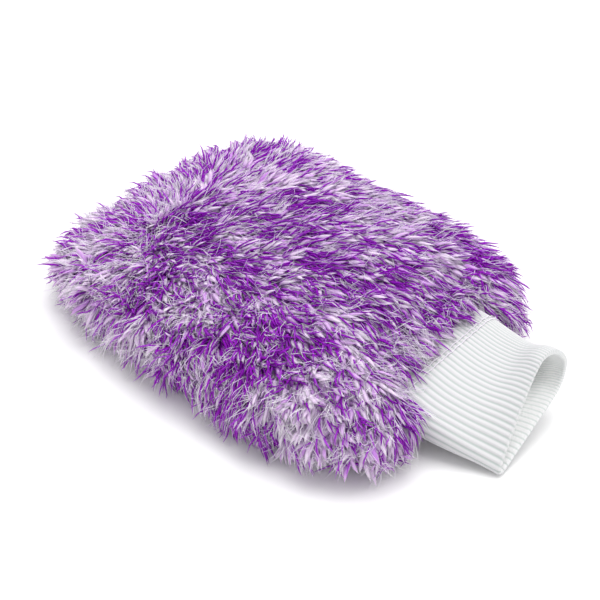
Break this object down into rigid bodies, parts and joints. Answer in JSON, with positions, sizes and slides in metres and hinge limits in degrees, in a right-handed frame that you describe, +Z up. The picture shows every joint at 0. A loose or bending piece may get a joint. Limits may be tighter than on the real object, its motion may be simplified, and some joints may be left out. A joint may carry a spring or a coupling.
{
  "type": "wash mitt",
  "caption": "Soft plush wash mitt with a hand pocket inside, wadding between shell and lining, and a folded rib-knit cuff at the open end.",
  "frame": {"origin": "on the surface that the mitt lies on, below the middle of the whole mitt's box", "axes": "+Z up from the surface, +Y to the fingertips, -Y to the mouth of the cuff, +X to the right of a right hand lying palm down in it"},
  "size_m": [0.21, 0.307, 0.072],
  "materials": {
    "plush_pile": "deep fluffy pile, lilac white tufts mixed with fine purple strands",
    "wadding": "matte needled fibre",
    "lining_cloth": "smooth warp knit",
    "rib_knit": "matte rib knit, one plain one purl",
    "sewing_thread": "spun polyester thread"
  },
  "bodies": {
    "root": {"top_plush_panel": "plush_pile", "bottom_plush_panel": "plush_pile", "top_wadding": "wadding", "bottom_wadding": "wadding", "top_lining": "lining_cloth", "bottom_lining": "lining_cloth", "rib_cuff": "rib_knit", "shell_seam_overlock": "sewing_thread", "lining_seam_overlock": "sewing_thread", "cuff_seam_stitching": "sewing_thread", "fingertip_tacks": "sewing_thread"}
  },
  "joints": []
}
